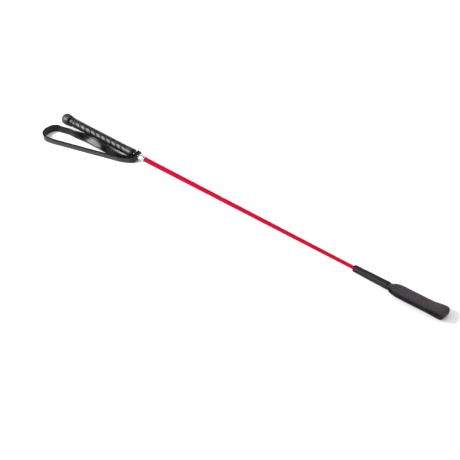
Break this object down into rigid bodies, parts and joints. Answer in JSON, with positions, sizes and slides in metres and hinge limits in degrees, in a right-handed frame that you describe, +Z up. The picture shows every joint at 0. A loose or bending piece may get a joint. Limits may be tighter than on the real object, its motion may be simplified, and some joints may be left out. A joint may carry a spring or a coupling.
{
  "type": "riding crop",
  "caption": "Riding crop with a plaited handle, wrist strap, polished ferrule, braided red shaft and a folded leather keeper",
  "frame": {"origin": "bottom centre of the box around the whole crop, on the surface that it lies on", "axes": "+X runs along the shaft from the pommel to the keeper, +Z is up, away from the surface, and the wrist strap lies on the -Y side"},
  "size_m": [0.65, 0.0618, 0.0169],
  "materials": {
    "grain_leather": "satin",
    "rolled_leather": "satin",
    "block_wood": "matte",
    "plait_leather": "satin",
    "polished_metal": "polished",
    "glass_fibre": "matte",
    "thread": "matte",
    "red_braid": "glossy",
    "cap_plastic": "matte",
    "keeper_leather": "satin",
    "sleeve_rubber": "satin",
    "strap_leather": "satin",
    "thread_dark": "matte"
  },
  "bodies": {
    "crop": {"pommel_cap": "grain_leather", "pommel_core": "block_wood", "neck_ring": "rolled_leather", "grip_former": "block_wood", "plaited_grip": "plait_leather", "grip_cuff": "grain_leather", "end_ring": "rolled_leather", "ferrule": "polished_metal", "shaft_core": "glass_fibre", "butt_whipping": "thread", "shaft_cover": "red_braid", "tip_whipping": "thread", "rod_tip_cap": "cap_plastic", "keeper_tail_upper": "keeper_leather", "keeper_tail_lower": "keeper_leather", "keeper_sleeve": "sleeve_rubber"},
    "strap_collar": {"strap_end_inner": "strap_leather", "strap_end_outer": "strap_leather"},
    "wrist_loop": {"wrist_strap": "strap_leather", "strap_stitches": "thread_dark"},
    "keeper": {"keeper_flap": "keeper_leather"}
  },
  "joints": [
    {"name": "wrist_swivel", "type": "hinge", "parent": "crop", "child": "strap_collar", "pos_m": [-0.19795, 0.01802, 0.0077], "axis": [-1, 0, 0], "continuous": true},
    {"name": "wrist_swing", "type": "hinge", "parent": "strap_collar", "child": "wrist_loop", "pos_m": [-0.19795, 0.01172, 0.0055], "axis": [0, 0, 1], "range_deg": [0, 130]},
    {"name": "keeper_flex", "type": "hinge", "parent": "crop", "child": "keeper", "pos_m": [0.227, 0.01802, 0.0077], "axis": [0, -0.9613, 0.2756], "range_deg": [-30, 30], "stiffness_Nm_per_rad": 0.05}
  ]
}
